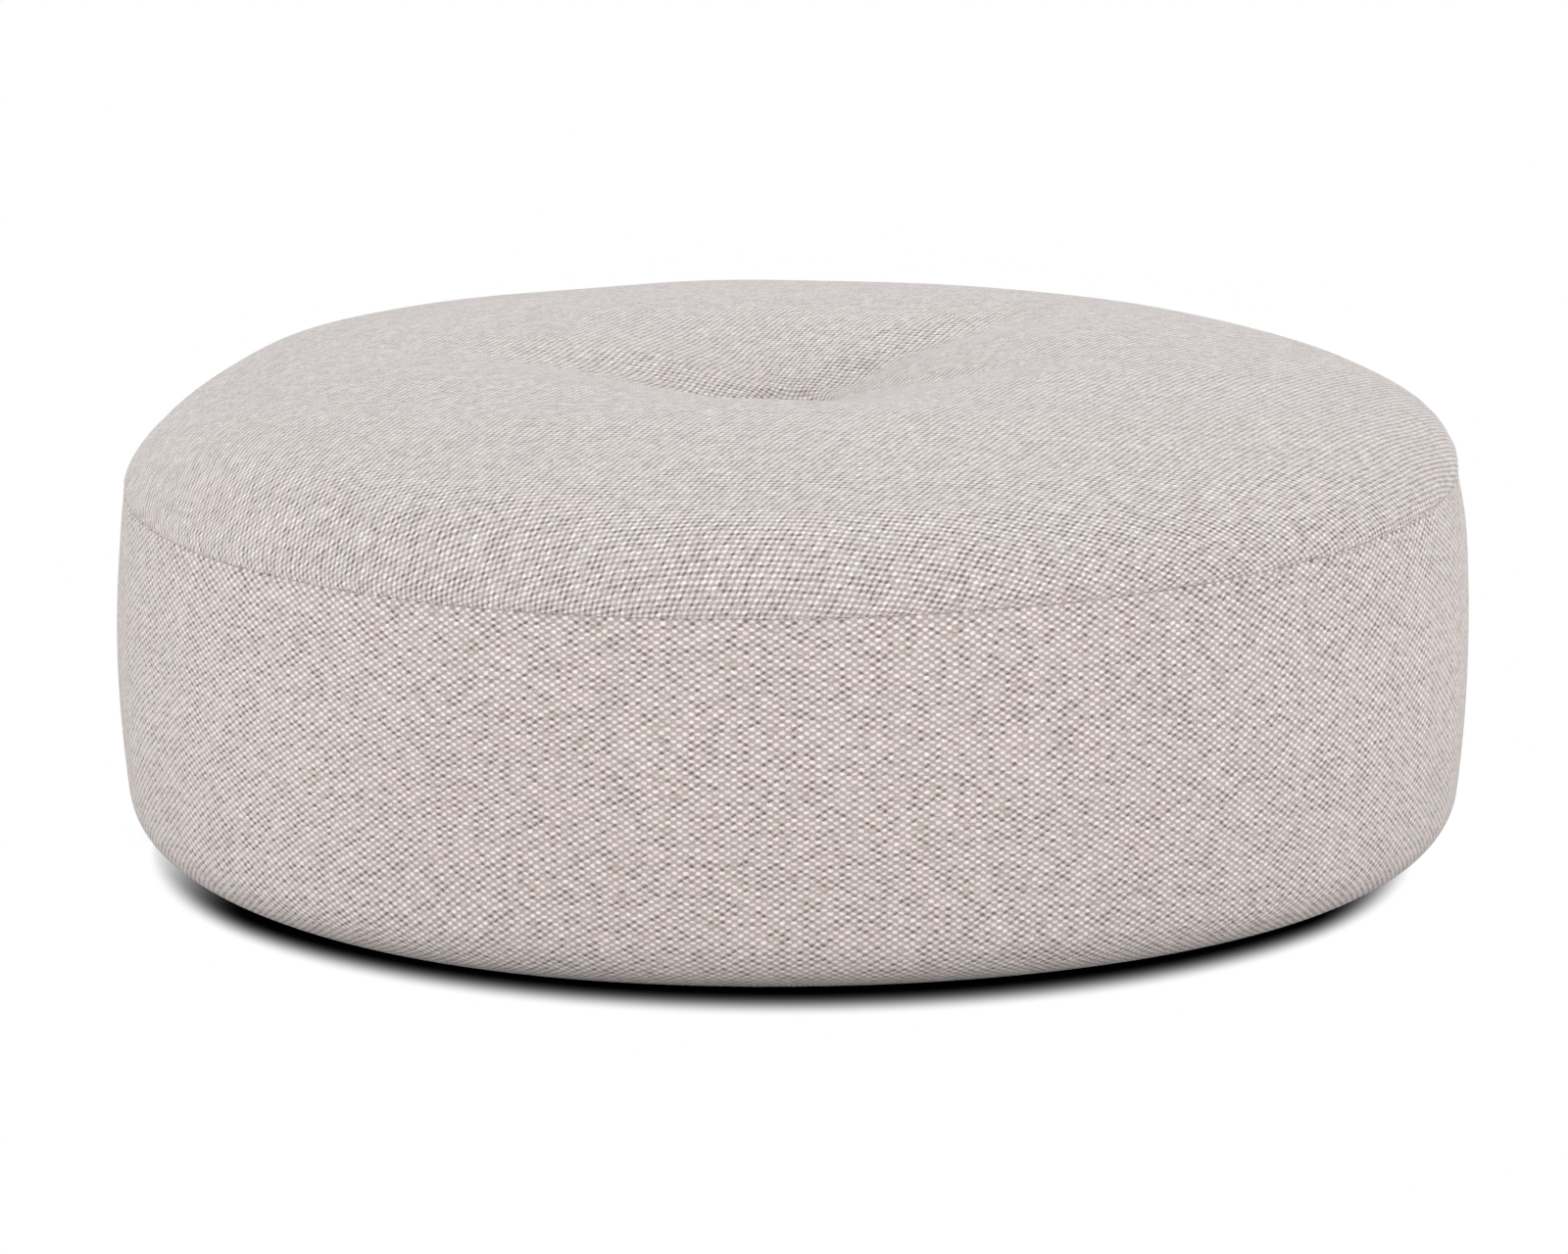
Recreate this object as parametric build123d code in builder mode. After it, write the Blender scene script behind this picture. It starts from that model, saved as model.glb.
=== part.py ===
from build123d import *
from math import asin, cos, degrees, radians, sin, sqrt, tan
import os

# A low round ottoman table: a sixteen-sided plywood frame webbed across its top, a foam drum,
# and a sewn cover with one deep tuft in the middle. Millimetres, +Z up, the origin on the floor
# under the centre. Every layer is drawn from the cover's outer line, set in by what lies over it.

os.makedirs("parts", exist_ok=True)

# The whole
seam_diameter = 1003.0
seam_height = 285.5
foot_height = 10.0
deck_height = 150.0
layer_gap = 0.3
overrun = 4.0

# Cover: cloth on its fibre wadding
cloth = 2.0
wadding = 6.0
seam_allowance = 12.0
seam_groove = 2.0
turned_under = 36.0

# Side band: rolled in at the floor, a little plump between floor and seam
bottom_roll = 46.0
side_lean = 6.6
roll_chords = 3
side_chords = 2

# Crown: a tight edge over the seam, a rolled shoulder, then a low dome up to its crest
edge_lift = 4.0
edge_roll = 15.0
edge_turn = 28.0
shoulder_roll = 100.0
shoulder_chords = 3
dome_roll = 820.0
dome_slope = 16.0
dome_chords = 2

# Tuft: the crown rolls down from its crest to a lip, then falls to the button's seat
tuft_radius = 40.0
dip_roll = 532.0
dip_chords = 2
lip_roll = 16.0
lip_chords = 1
wall_slope = 50.0
button_radius = 15.0
button_height = 8.0
button_bevel = 5.0
button_sides = 16
button_margin = 1.5
twine_radius = 1.2
twine_bite = 4.0
needle_slit = 3.2
knot_radius = 3.6
knot_height = 5.0
toggle_length = 72.0
toggle_width = 20.0
toggle_thickness = 8.0
toggle_edge = 2.0

# Foam: a crown block over a firm core, and a wrap round the frame and the core
crown_drop = 23.5
foam_flat = 6.0
wrap_thickness = 31.7

# Frame
frame_sides = 16
ring_width = 80.0
board = 18.0
upright_depth = 45.0
upright_width = 70.0
rail_width = 60.0
rail_margin = 9.0
rail_hole_radius = 3.0
panel = 3.0

# Webbing: two sets of straps woven over and under, their ends folded back and stapled
strap_width = 70.0
strap_side = 204.0
strap_count = 4
strap = 1.5
strap_margin = 9.0
strap_fold = 24.0
strap_ease = 8.0
strap_ramp = 24.0
burlap = 0.8
burlap_margin = 31.0
burlap_sides = 8

# Underside
dust_cover = 0.6
dust_cover_margin = 9.0
foot_side = 50.0
foot_bevel = 3.0
foot_count = 4
nail_spacing = 24.0
nail_shank = 2.2
nail_length = 20.0
nail_head = 5.0
nail_head_height = 1.2
nail_recess = 3.0

# Staples
wire = 1.2
staple_crown = 12.0
staple_leg = 11.0
slot_gap = 0.15

# Heights and radii that follow
seam_radius = seam_diameter / 2
skin = cloth + wadding
foam_inset = skin + layer_gap
tongue_inset = 2 * cloth
dust_cover_top = foot_height + dust_cover
ground_gap = dust_cover_top + layer_gap
turn_top = ground_gap + cloth
base_height = turn_top + layer_gap
rail_height = base_height + board
side_turn = 360 / frame_sides
wrap_radius = seam_radius - foam_inset - wrap_thickness
core_radius = wrap_radius - layer_gap
panel_apothem = core_radius * cos(radians(side_turn / 2)) - panel
panel_width = 2 * panel_apothem * tan(radians(side_turn / 2)) - layer_gap
frame_apothem = panel_apothem - layer_gap
foot_radius = frame_apothem - ring_width / 2
strap_reach = frame_apothem - strap_margin
strap_pitch = 2 * (frame_apothem - strap_side - strap_width / 2) / (strap_count - 1)
burlap_apothem = frame_apothem - burlap_margin
dust_cover_apothem = frame_apothem - dust_cover_margin
fold_height = deck_height + 2 * strap
burlap_height = fold_height + wire + layer_gap
core_bottom = burlap_height + burlap + layer_gap
crown_base = seam_height - crown_drop
core_top = crown_base - layer_gap
roll_start = seam_radius - bottom_roll * cos(radians(side_lean))
roll_axis_height = ground_gap + bottom_roll
band_top = seam_height - layer_gap
seat_radius = button_radius + button_margin


def rolled(start, heading, radius, turn, chords):
    """The ends of equal chords along a left-hand arc, from its start and its heading in degrees."""
    centre = (start[0] - radius * sin(radians(heading)), start[1] + radius * cos(radians(heading)))
    angles = [radians(heading + turn * step / chords) for step in range(1, chords + 1)]
    return [(centre[0] + radius * sin(angle), centre[1] - radius * cos(angle)) for angle in angles]


def shoulder_line(inset, chords):
    """The crown's edge and shoulder, set in from the cover's face, up to where the dome starts."""
    edge = rolled((seam_radius - inset, seam_height + edge_lift), 90, edge_roll - inset, edge_turn, 1)
    rest = 90 - edge_turn - dome_slope
    return edge + rolled(edge[-1], 90 + edge_turn, shoulder_roll - inset, rest, chords)


# The crown's outer line: the dome to its crest, the dip to the tuft's lip, and the wall to the seat
shoulder = shoulder_line(0, shoulder_chords)
dome = rolled(shoulder[-1], 180 - dome_slope, dome_roll, dome_slope, dome_chords)
crest_radius, crest_height = dome[-1]
dip_slope = degrees(asin((crest_radius - tuft_radius) / dip_roll))
dip = rolled(dome[-1], 180, dip_roll, dip_slope, dip_chords)
lip = rolled(dip[-1], 180 + dip_slope, lip_roll, wall_slope - dip_slope, lip_chords)
lip_height = dip[-1][1]
wall_radius, wall_height = lip[-1]
seat_height = wall_height - (wall_radius - seat_radius) * tan(radians(wall_slope))
button_base = seat_height + layer_gap


def wall_set_in(height, inset):
    """The tuft wall's radius at a height, set in square to the wall from the cover's face."""
    run = (height - wall_height) / tan(radians(wall_slope))
    return wall_radius + run + inset / sin(radians(wall_slope))


def foam_line(inset):
    """What lies under the wadding: the shoulder, a flat crest, and the tuft's well to its seat."""
    flat = crest_height - foam_flat - inset
    crest = [
        (crest_radius + sqrt(2 * dome_roll * foam_flat), flat),
        (crest_radius - sqrt(2 * dip_roll * foam_flat), flat),
    ]
    brink = lip_height - inset
    floor = seat_height - inset
    well = [(wall_set_in(brink, inset), brink), (wall_set_in(floor, inset), floor), (0, floor)]
    return shoulder_line(inset, 1) + crest + well


def wrap_corner(inset):
    """The side foam's low corner, cut straight across inside the cover's bottom roll."""
    radius = bottom_roll - inset
    upper = roll_axis_height - radius * sin(radians(side_lean))
    lower = roll_axis_height - sqrt(radius**2 - (wrap_radius - roll_start) ** 2)
    return [(seam_radius - inset, upper), (wrap_radius, lower)]


# One staple, its crown's top at the origin and its legs down
with BuildPart() as staple:
    with BuildSketch(Plane.XZ):
        Rectangle(staple_crown, staple_leg, align=(Align.CENTER, Align.MAX))
        with Locations((0, -wire)):
            Rectangle(
                staple_crown - 2 * wire, staple_leg, align=(Align.CENTER, Align.MAX), mode=Mode.SUBTRACT
            )
    extrude(amount=wire / 2, both=True)

# The slot that its legs take
with BuildPart() as staple_slot:
    with Locations((0, 0, overrun)):
        Box(
            staple_crown + 2 * slot_gap,
            wire + 2 * slot_gap,
            overrun + staple_leg + slot_gap,
            align=(Align.CENTER, Align.CENTER, Align.MAX),
        )

# One nail, point up, with its head's underside at the origin, and the hole that its shank takes
with BuildPart() as nail:
    Box(nail_head, nail_head, nail_head_height, align=(Align.CENTER, Align.CENTER, Align.MAX))
    Box(nail_shank, nail_shank, nail_length, align=(Align.CENTER, Align.CENTER, Align.MIN))

with BuildPart() as nail_hole:
    with Locations((0, 0, -overrun)):
        Box(
            nail_shank + 2 * slot_gap,
            nail_shank + 2 * slot_gap,
            overrun + nail_length + slot_gap,
            align=(Align.CENTER, Align.CENTER, Align.MIN),
        )

nail_spots = [
    Plane.XY.offset(nail_recess).rotated((0, 0, (foot + 0.5) * 360 / foot_count)).location
    * Location((foot_radius, side * nail_spacing / 2, 0))
    for foot in range(foot_count)
    for side in (-1, 1)
]

# Cover: the top panel, with its allowance turned down inside the band
with BuildPart() as cover_top_panel:
    with BuildSketch(Plane.XZ):
        with BuildLine():
            Polyline(
                (0, seat_height - skin),
                *reversed(foam_line(skin)[:-1]),
                (seam_radius - skin, seam_height - seam_allowance),
                (seam_radius - tongue_inset, seam_height - seam_allowance),
                (seam_radius - tongue_inset, seam_height),
                (seam_radius - seam_groove, seam_height),
                (seam_radius, seam_height + edge_lift),
                *shoulder,
                *dome,
                *dip,
                *lip,
                (seat_radius, seat_height),
                (0, seat_height),
                close=True,
            )
        make_face()
    revolve(axis=Axis.Z)
    Box(
        needle_slit,
        needle_slit,
        seat_height + overrun,
        align=(Align.CENTER, Align.CENTER, Align.MIN),
        mode=Mode.SUBTRACT,
    )
cover_top_panel.part.label = "cover_top_panel"
export_step(cover_top_panel.part, "parts/cover_top_panel.step")

# Cover: the side band, folded double at the seam and turned under the base
band_roll = rolled((roll_start, ground_gap), 0, bottom_roll, 90 - side_lean, roll_chords)
side_radius = (band_top - seam_groove - band_roll[-1][1]) / (2 * sin(radians(side_lean)))
band_side = rolled(band_roll[-1], 90 - side_lean, side_radius, 2 * side_lean, side_chords)
with BuildPart() as cover_side_band:
    with BuildSketch(Plane.XZ):
        with BuildLine():
            Polyline(
                (roll_start - turned_under, ground_gap),
                (roll_start, ground_gap),
                *band_roll,
                *band_side,
                (seam_radius - seam_groove, band_top),
                (seam_radius - tongue_inset + layer_gap, band_top),
                (seam_radius - tongue_inset + layer_gap, band_top - seam_allowance),
                (seam_radius - skin, band_top - seam_allowance),
                *wrap_corner(skin),
                (wrap_radius, turn_top),
                (roll_start - turned_under, turn_top),
                close=True,
            )
        make_face()
    revolve(axis=Axis.Z)
cover_side_band.part.label = "cover_side_band"
export_step(cover_side_band.part, "parts/cover_side_band.step")

# Foam: the crown block, dished for the tuft
with BuildPart() as foam_crown:
    with BuildSketch(Plane.XZ):
        with BuildLine():
            Polyline(
                (0, crown_base),
                (seam_radius - foam_inset, crown_base),
                *foam_line(foam_inset),
                close=True,
            )
        make_face()
    revolve(axis=Axis.Z)
    Box(
        needle_slit,
        needle_slit,
        seat_height + overrun,
        align=(Align.CENTER, Align.CENTER, Align.MIN),
        mode=Mode.SUBTRACT,
    )
foam_crown.part.label = "foam_crown"
export_step(foam_crown.part, "parts/foam_crown.step")

# Foam: the firm core on the webbing
with BuildPart() as foam_core:
    with BuildSketch(Plane.XY.offset(core_bottom)):
        Circle(core_radius)
        Rectangle(needle_slit, needle_slit, mode=Mode.SUBTRACT)
    extrude(amount=core_top - core_bottom)
foam_core.part.label = "foam_core"
export_step(foam_core.part, "parts/foam_core.step")

# Foam: the wrap round the side panels and the core
with BuildPart() as foam_side_wrap:
    with BuildSketch(Plane.XZ):
        with BuildLine():
            Polyline(
                (wrap_radius, core_top),
                (seam_radius - foam_inset, core_top),
                *wrap_corner(foam_inset),
                close=True,
            )
        make_face()
    revolve(axis=Axis.Z)
foam_side_wrap.part.label = "foam_side_wrap"
export_step(foam_side_wrap.part, "parts/foam_side_wrap.step")

# Webbing: each strap lies low on the deck ring and rises over every second strap that it crosses
strap_places = [strap_pitch * (number - (strap_count - 1) / 2) for number in range(strap_count)]


def strap_length(place):
    """Half of a strap's length, which ends where its outer corner meets the deck ring."""
    return sqrt(strap_reach**2 - (abs(place) + strap_width / 2) ** 2)


def strap_line(place, crossed):
    """A strap's underside: low, with a rise over each of the crossed places."""
    flat = strap_width / 2 + strap_ease
    lifted = deck_height + strap + layer_gap
    line = [(-strap_length(place), deck_height)]
    for middle in crossed:
        line += [
            (middle - flat - strap_ramp, deck_height),
            (middle - flat, lifted),
            (middle + flat, lifted),
            (middle + flat + strap_ramp, deck_height),
        ]
    return line + [(strap_length(place), deck_height)]


webbing_spots = []
for name, parity in (("across", 1), ("along", 0)):
    for row, place in enumerate(strap_places):
        crossed = [other for column, other in enumerate(strap_places) if (row + column) % 2 == parity]
        under = strap_line(place, crossed)
        half = strap_length(place)
        ends = (strap_fold / 2 - half, half - strap_fold / 2)
        if name == "across":
            plane = Plane.XZ.offset(-place)
            spots = [Location((end, place, fold_height + wire), (0, 0, 90)) for end in ends]
        else:
            plane = Plane.YZ.offset(place)
            spots = [Location((place, end, fold_height + wire)) for end in ends]
        webbing_spots += spots
        with BuildPart() as webbing:
            with BuildSketch(plane):
                with BuildLine():
                    Polyline(
                        *under,
                        (half, fold_height),
                        (half - strap_fold, fold_height),
                        (half - strap_fold, deck_height + strap),
                        *[(run, height + strap) for run, height in reversed(under[1:-1])],
                        (strap_fold - half, deck_height + strap),
                        (strap_fold - half, fold_height),
                        (-half, fold_height),
                        close=True,
                    )
                make_face()
            extrude(amount=strap_width / 2, both=True)
            with Locations(*spots):
                add(staple_slot.part, mode=Mode.SUBTRACT)
        webbing.part.label = f"webbing_{name}_{row + 1}"
        export_step(webbing.part, f"parts/webbing_{name}_{row + 1}.step")

with BuildPart() as webbing_staples:
    with Locations(*webbing_spots):
        add(staple.part)
webbing_staples.part.label = "webbing_staples"
export_step(webbing_staples.part, "parts/webbing_staples.step")

# Burlap over the webbing, cut to eight sides
with BuildPart() as burlap_sheet:
    with BuildSketch(Plane.XY.offset(burlap_height)):
        RegularPolygon(burlap_apothem, burlap_sides, major_radius=False, rotation=180 / burlap_sides)
        Rectangle(needle_slit, needle_slit, mode=Mode.SUBTRACT)
    extrude(amount=burlap)
burlap_sheet.part.label = "burlap_sheet"
export_step(burlap_sheet.part, "parts/burlap_sheet.step")

# Frame: the two plywood rings
with BuildPart() as deck_ring:
    with BuildSketch(Plane.XY.offset(deck_height - board)):
        RegularPolygon(frame_apothem, frame_sides, major_radius=False, rotation=side_turn / 2)
        RegularPolygon(
            frame_apothem - ring_width,
            frame_sides,
            major_radius=False,
            rotation=side_turn / 2,
            mode=Mode.SUBTRACT,
        )
    extrude(amount=board)
    with Locations(*webbing_spots):
        add(staple_slot.part, mode=Mode.SUBTRACT)
deck_ring.part.label = "deck_ring"
export_step(deck_ring.part, "parts/deck_ring.step")

with BuildPart() as base_ring:
    with BuildSketch(Plane.XY.offset(base_height)):
        RegularPolygon(frame_apothem, frame_sides, major_radius=False, rotation=side_turn / 2)
        RegularPolygon(
            frame_apothem - ring_width,
            frame_sides,
            major_radius=False,
            rotation=side_turn / 2,
            mode=Mode.SUBTRACT,
        )
    extrude(amount=board)
    with Locations(*nail_spots):
        add(nail_hole.part, mode=Mode.SUBTRACT)
base_ring.part.label = "base_ring"
export_step(base_ring.part, "parts/base_ring.step")

# Frame: two rails, halved into each other at the centre, where the twine passes
rail_length = 2 * (frame_apothem - rail_margin)
for name, turn, lap in (("across", 0, board / 2), ("along", 90, 0)):
    with BuildPart(Plane.XY.offset(rail_height).rotated((0, 0, turn))) as base_rail:
        Box(rail_length, rail_width, board, align=(Align.CENTER, Align.CENTER, Align.MIN))
        with Locations((0, 0, lap)):
            Box(
                rail_width + layer_gap,
                rail_width,
                board / 2,
                align=(Align.CENTER, Align.CENTER, Align.MIN),
                mode=Mode.SUBTRACT,
            )
        Cylinder(
            rail_hole_radius, board, align=(Align.CENTER, Align.CENTER, Align.MIN), mode=Mode.SUBTRACT
        )
    base_rail.part.label = f"base_rail_{name}"
    export_step(base_rail.part, f"parts/base_rail_{name}.step")

# Frame: an upright between the rings at every second side
for number in range(frame_sides // 2):
    with BuildPart(Plane.XY.offset(rail_height).rotated((0, 0, (2 * number + 1) * side_turn))) as upright:
        with Locations((frame_apothem - upright_depth / 2, 0, 0)):
            Box(
                upright_depth,
                upright_width,
                deck_height - board - rail_height,
                align=(Align.CENTER, Align.CENTER, Align.MIN),
            )
    upright.part.label = f"upright_{number + 1}"
    export_step(upright.part, f"parts/upright_{number + 1}.step")

# Frame: a hardboard panel on every side, from ring to ring
for number in range(frame_sides):
    with BuildPart(Plane.XY.offset(base_height).rotated((0, 0, number * side_turn))) as side_panel:
        with Locations((panel_apothem, 0, 0)):
            Box(
                panel,
                panel_width,
                deck_height - base_height,
                align=(Align.MIN, Align.CENTER, Align.MIN),
            )
    side_panel.part.label = f"side_panel_{number + 1}"
    export_step(side_panel.part, f"parts/side_panel_{number + 1}.step")

# Underside: the dust cover over the band's turned edge
with BuildPart() as dust_cover_sheet:
    with BuildSketch(Plane.XY.offset(foot_height)):
        RegularPolygon(dust_cover_apothem, frame_sides, major_radius=False, rotation=side_turn / 2)
    extrude(amount=dust_cover)
    with Locations(*nail_spots):
        add(nail_hole.part, mode=Mode.SUBTRACT)
dust_cover_sheet.part.label = "dust_cover"
export_step(dust_cover_sheet.part, "parts/dust_cover.step")

# Underside: block feet, each with two nails sunk in its sole
for number in range(foot_count):
    with BuildPart(Plane.XY.rotated((0, 0, (number + 0.5) * 360 / foot_count))) as foot:
        with Locations((foot_radius, 0, 0)):
            Box(foot_side, foot_side, foot_height, align=(Align.CENTER, Align.CENTER, Align.MIN))
        chamfer(foot.faces().sort_by(Axis.Z)[0].edges(), length=foot_bevel)
        with Locations(*[(foot_radius, side * nail_spacing / 2, 0) for side in (-1, 1)]):
            Box(
                nail_head + 2 * slot_gap,
                nail_head + 2 * slot_gap,
                nail_recess,
                align=(Align.CENTER, Align.CENTER, Align.MIN),
                mode=Mode.SUBTRACT,
            )
            Box(
                nail_shank + 2 * slot_gap,
                nail_shank + 2 * slot_gap,
                foot_height,
                align=(Align.CENTER, Align.CENTER, Align.MIN),
                mode=Mode.SUBTRACT,
            )
    foot.part.label = f"foot_{number + 1}"
    export_step(foot.part, f"parts/foot_{number + 1}.step")

with BuildPart() as foot_nails:
    with Locations(*nail_spots):
        add(nail.part)
foot_nails.part.label = "foot_nails"
export_step(foot_nails.part, "parts/foot_nails.step")

# Tuft: the covered button in the well
with BuildPart() as tuft_button:
    with BuildSketch(Plane.XY.offset(button_base)):
        RegularPolygon(button_radius, button_sides)
    extrude(amount=button_height)
    chamfer(tuft_button.faces().sort_by(Axis.Z)[-1].edges(), length=button_bevel)
    with Locations((0, 0, button_base)):
        Box(
            needle_slit,
            needle_slit,
            twine_bite,
            align=(Align.CENTER, Align.CENTER, Align.MIN),
            mode=Mode.SUBTRACT,
        )
tuft_button.part.label = "tuft_button"
export_step(tuft_button.part, "parts/tuft_button.step")

# Tuft: the twine, taut from the button down to its knot under the toggle
knot_top = rail_height - toggle_thickness - layer_gap
with BuildPart() as tuft_twine:
    with BuildSketch(Plane.XZ):
        with BuildLine():
            Polyline(
                (0, knot_top - knot_height),
                (knot_radius, knot_top - knot_height / 2),
                (twine_radius, knot_top),
                (twine_radius, button_base + twine_bite - layer_gap),
                (0, button_base + twine_bite - layer_gap),
                close=True,
            )
        make_face()
    revolve(axis=Axis.Z)
tuft_twine.part.label = "tuft_twine"
export_step(tuft_twine.part, "parts/tuft_twine.step")

with BuildPart(Plane.XY.offset(rail_height)) as tuft_toggle:
    Box(toggle_length, toggle_width, toggle_thickness, align=(Align.CENTER, Align.CENTER, Align.MAX))
    chamfer(tuft_toggle.edges().filter_by(Axis.X), length=toggle_edge)
    Hole(twine_radius + layer_gap)
tuft_toggle.part.label = "tuft_toggle"
export_step(tuft_toggle.part, "parts/tuft_toggle.step")

print(f"crown {crest_height:.1f} high, seat {seat_height:.1f}, frame {frame_apothem:.1f} to its flats")
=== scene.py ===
import bmesh
import bpy
import math
import mathutils
import numpy as np
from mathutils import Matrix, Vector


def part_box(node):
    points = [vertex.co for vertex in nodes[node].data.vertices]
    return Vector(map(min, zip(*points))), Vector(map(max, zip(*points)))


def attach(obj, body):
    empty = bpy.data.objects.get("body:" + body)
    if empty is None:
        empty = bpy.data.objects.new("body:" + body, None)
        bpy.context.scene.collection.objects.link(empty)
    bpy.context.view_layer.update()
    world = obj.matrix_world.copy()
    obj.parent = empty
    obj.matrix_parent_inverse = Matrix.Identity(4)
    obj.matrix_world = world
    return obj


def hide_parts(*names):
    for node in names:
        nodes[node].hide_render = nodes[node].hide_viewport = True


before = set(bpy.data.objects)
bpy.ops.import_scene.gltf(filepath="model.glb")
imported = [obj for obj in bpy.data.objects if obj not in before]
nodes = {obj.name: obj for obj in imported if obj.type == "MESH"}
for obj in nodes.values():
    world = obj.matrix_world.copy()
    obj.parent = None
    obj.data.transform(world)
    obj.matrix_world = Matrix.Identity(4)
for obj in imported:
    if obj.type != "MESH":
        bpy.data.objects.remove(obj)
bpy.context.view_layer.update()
print("frame loaded:", len(nodes), "solids' nodes")


# colours and node maths

# The sRGB curve: straight below its knee, a power above
curve = dict(knee=0.04045, slope=12.92, shift=0.055, power=2.4)


# A colour written as three bytes, as linear values with alpha
def tint(red, green, blue):
    shares = np.array([red, green, blue]) / 255
    bent = ((shares + curve["shift"]) / (1 + curve["shift"])) ** curve["power"]
    return [*np.where(shares <= curve["knee"], shares / curve["slope"], bent).tolist(), 1.0]


# One output of a node; arithmetic on it adds Math nodes
class Wire:
    def __init__(self, recipe, socket):
        self.recipe = recipe
        self.socket = socket

    def maths(self, operation, *values):
        return self.recipe.node("ShaderNodeMath", {"operation": operation}, dict(enumerate(values)))

    def __add__(self, other):
        return self.maths("ADD", self, other)

    def __radd__(self, other):
        return self.maths("ADD", other, self)

    def __sub__(self, other):
        return self.maths("SUBTRACT", self, other)

    def __rsub__(self, other):
        return self.maths("SUBTRACT", other, self)

    def __mul__(self, other):
        return self.maths("MULTIPLY", self, other)

    def __rmul__(self, other):
        return self.maths("MULTIPLY", other, self)

    def __truediv__(self, other):
        return self.maths("DIVIDE", self, other)

    def __rtruediv__(self, other):
        return self.maths("DIVIDE", other, self)

    def __pow__(self, other):
        return self.maths("POWER", self, other)

    def __mod__(self, other):
        return self.maths("FLOORED_MODULO", self, other)

    def floor(self):
        return self.maths("FLOOR", self)

    def sine(self):
        return self.maths("SINE", self)

    def cosine(self):
        return self.maths("COSINE", self)

    def size(self):
        return self.maths("ABSOLUTE", self)

    def most(self, other):
        return self.maths("MAXIMUM", self, other)


# A material or world being made: node() adds any node, its settings first and then its inputs
class Recipe:
    def __init__(self, name, owner=None):
        self.owner = owner or bpy.data.materials.new(name)
        self.owner.use_nodes = True
        self.tree = self.owner.node_tree
        self.tree.nodes.clear()

    def node(self, kind, settings=None, inputs=None, output=0):
        made = self.tree.nodes.new(kind)
        for key, value in (settings or {}).items():
            setattr(made, key, value)
        for key, value in (inputs or {}).items():
            if isinstance(value, Wire):
                self.tree.links.new(value.socket, made.inputs[key])
            else:
                made.inputs[key].default_value = value
        return Wire(self, made.outputs[output])

    def place(self):
        return self.node("ShaderNodeTexCoord", output="Object")

    def along(self, name):
        return self.node("ShaderNodeUVMap", {"uv_map": name})

    def parts(self, vector):
        split = self.node("ShaderNodeSeparateXYZ", inputs={0: vector})
        return [Wire(self, socket) for socket in split.socket.node.outputs]

    def vector(self, x=0.0, y=0.0, z=0.0):
        return self.node("ShaderNodeCombineXYZ", inputs={0: x, 1: y, 2: z})

    def spread(self, vector, scale):
        return self.node("ShaderNodeVectorMath", {"operation": "MULTIPLY"}, {0: vector, 1: scale})

    def noise(self, vector, scale=1.0, detail=2.0, rough=0.5):
        inputs = {"Vector": vector, "Scale": scale, "Detail": detail, "Roughness": rough}
        return self.node("ShaderNodeTexNoise", inputs=inputs)

    def chance(self, x, y, z):
        settings = {"noise_dimensions": "3D"}
        return self.node("ShaderNodeTexWhiteNoise", settings, {"Vector": self.vector(x, y, z)})

    def ease(self, value, low, high):
        settings = {"interpolation_type": "SMOOTHSTEP", "clamp": True}
        return self.node("ShaderNodeMapRange", settings, {"Value": value, "From Min": low, "From Max": high})

    def mix(self, factor, first, second, blend="MIX"):
        settings = {"data_type": "RGBA", "blend_type": blend}
        return self.node("ShaderNodeMix", settings, {0: factor, 6: first, 7: second}, 2)

    def grey(self, value):
        return self.node("ShaderNodeCombineColor", inputs={0: value, 1: value, 2: value})

    # As deep and as strong as the look's own dictionary says
    def bump(self, height, look):
        inputs = {"Height": height, "Distance": look["relief"], "Strength": look["strength"]}
        return self.node("ShaderNodeBump", inputs=inputs)

    # One on the rays that see the plain background: the camera's, and those off gloss and through glass
    def plainRays(self):
        rays = ("Is Camera Ray", "Is Glossy Ray", "Is Transmission Ray")
        camera, gloss, glass = [self.node("ShaderNodeLightPath", output=ray) for ray in rays]
        return camera + gloss + glass

    def surface(self, shader, kind="ShaderNodeOutputMaterial"):
        out = self.tree.nodes.new(kind)
        self.tree.links.new(shader.socket, out.inputs["Surface"])
        return self.owner

    def finish(self, **inputs):
        named = {key.replace("_", " "): value for key, value in inputs.items()}
        return self.surface(self.node("ShaderNodeBsdfPrincipled", inputs=named))


# surfaces

# A grid of points [row, column, xyz] as a mesh; columns may close round, and uv is in metres
def gridPiece(name, points, uv=None, closed=True):
    rows, columns = points.shape[:2]
    used = columns if closed else columns - 1
    row, column = np.meshgrid(np.arange(rows - 1), np.arange(used), indexing="ij")
    first = row * columns + column
    after = row * columns + (column + 1) % columns
    corners = np.stack([first, after, after + columns, first + columns], -1).reshape(-1, 4)
    mesh = bpy.data.meshes.new(name)
    mesh.vertices.add(rows * columns)
    mesh.vertices.foreach_set("co", points.reshape(-1).astype(np.float32))
    mesh.loops.add(corners.size)
    mesh.loops.foreach_set("vertex_index", corners.reshape(-1).astype(np.int32))
    mesh.polygons.add(len(corners))
    mesh.polygons.foreach_set("loop_start", np.arange(0, corners.size, 4, dtype=np.int32))
    mesh.polygons.foreach_set("loop_total", np.full(len(corners), 4, np.int32))
    if uv is not None:
        step = np.stack([column, column + 1, column + 1, column], -1).reshape(-1)
        line = np.stack([row, row, row + 1, row + 1], -1).reshape(-1)
        layer = mesh.uv_layers.new(name="cloth")
        layer.data.foreach_set("uv", uv[line, step].reshape(-1).astype(np.float32))
    mesh.update()
    mesh.validate()
    made = bpy.data.objects.new(name, mesh)
    bpy.context.scene.collection.objects.link(made)
    return made


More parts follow.
